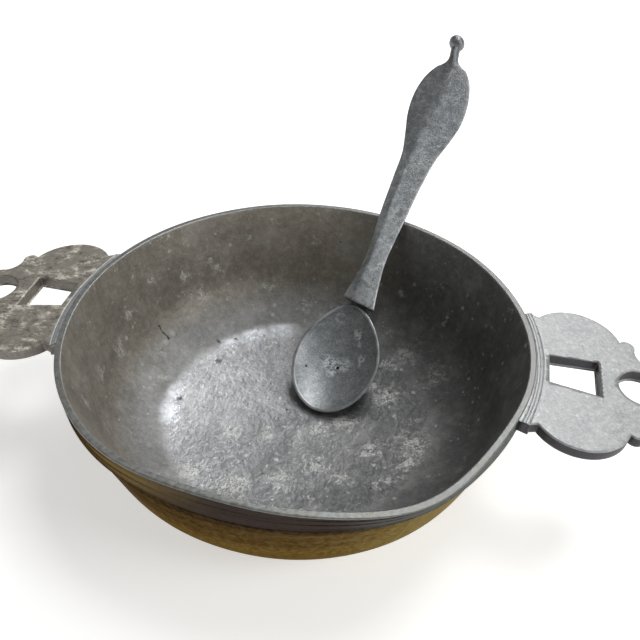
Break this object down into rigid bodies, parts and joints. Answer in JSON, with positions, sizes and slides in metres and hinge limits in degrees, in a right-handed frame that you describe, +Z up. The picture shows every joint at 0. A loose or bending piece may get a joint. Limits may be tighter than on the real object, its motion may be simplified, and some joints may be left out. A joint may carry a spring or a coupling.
{
  "type": "pewter porringer",
  "caption": "Round pewter porringer with a moulded rim band, pierced flat ears soldered to the rim, and a loose fig-bowl spoon with a ball knop leaning in it.",
  "frame": {"origin": "centre of the flat underside of the base, on the surface that the bowl stands on", "axes": "+Z up along the bowl's turning axis, +X along the right ear, +Y towards the side of the rim that the spoon leans on"},
  "size_m": [0.2512, 0.2223, 0.1069],
  "materials": {
    "bowl_pewter": "aged pewter, dull grey with pale corrosion specks",
    "ear_pewter": "aged pewter, worn pale on the faces",
    "solder": "tin solder, dull bright",
    "spoon_pewter": "aged pewter, mid grey, worn edges"
  },
  "bodies": {
    "porringer": {"bowl": "bowl_pewter", "left_ear": "ear_pewter", "right_ear": "ear_pewter", "left_ear_solder": "solder", "right_ear_solder": "solder"},
    "spoon": {"spoon": "spoon_pewter"}
  },
  "joints": [
    {"name": "spoon_lift", "type": "slide", "parent": "porringer", "child": "spoon", "axis": [0, 0, 1], "range_m": [0, 0.07]}
  ]
}
